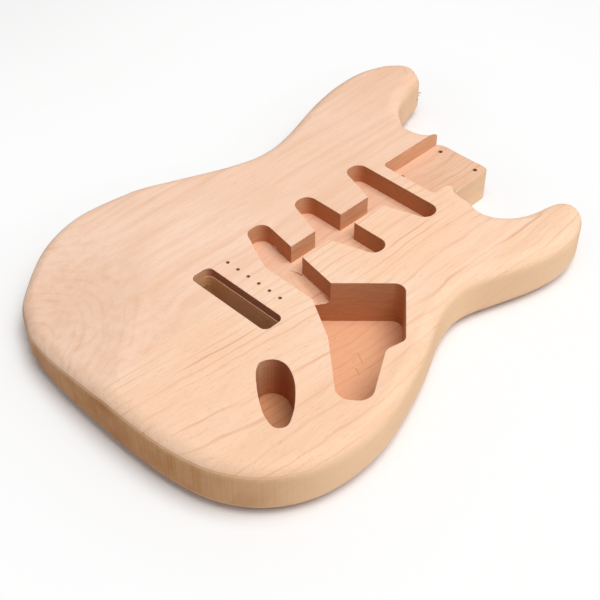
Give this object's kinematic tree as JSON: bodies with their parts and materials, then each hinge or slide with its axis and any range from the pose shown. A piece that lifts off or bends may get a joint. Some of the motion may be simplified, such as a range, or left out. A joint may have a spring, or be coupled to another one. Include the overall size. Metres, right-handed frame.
{
  "type": "electric guitar body",
  "caption": "Bare wooden electric guitar body with offset waist, two horns, neck pocket, three pickup cavities, control and jack cavities and a bridge slot.",
  "frame": {"origin": "middle of the body's outline box, on the plane of the flat back", "axes": "+X across the body towards the treble side, +Y along the strings towards the neck, +Z out of the front"},
  "size_m": [0.3252, 0.4702, 0.0444],
  "materials": {
    "bass_board": "bare sanded",
    "middle_board": "bare sanded",
    "treble_board": "bare sanded"
  },
  "bodies": {
    "root": {"bass_board": "bass_board", "middle_board": "middle_board", "treble_board": "treble_board"}
  },
  "joints": []
}
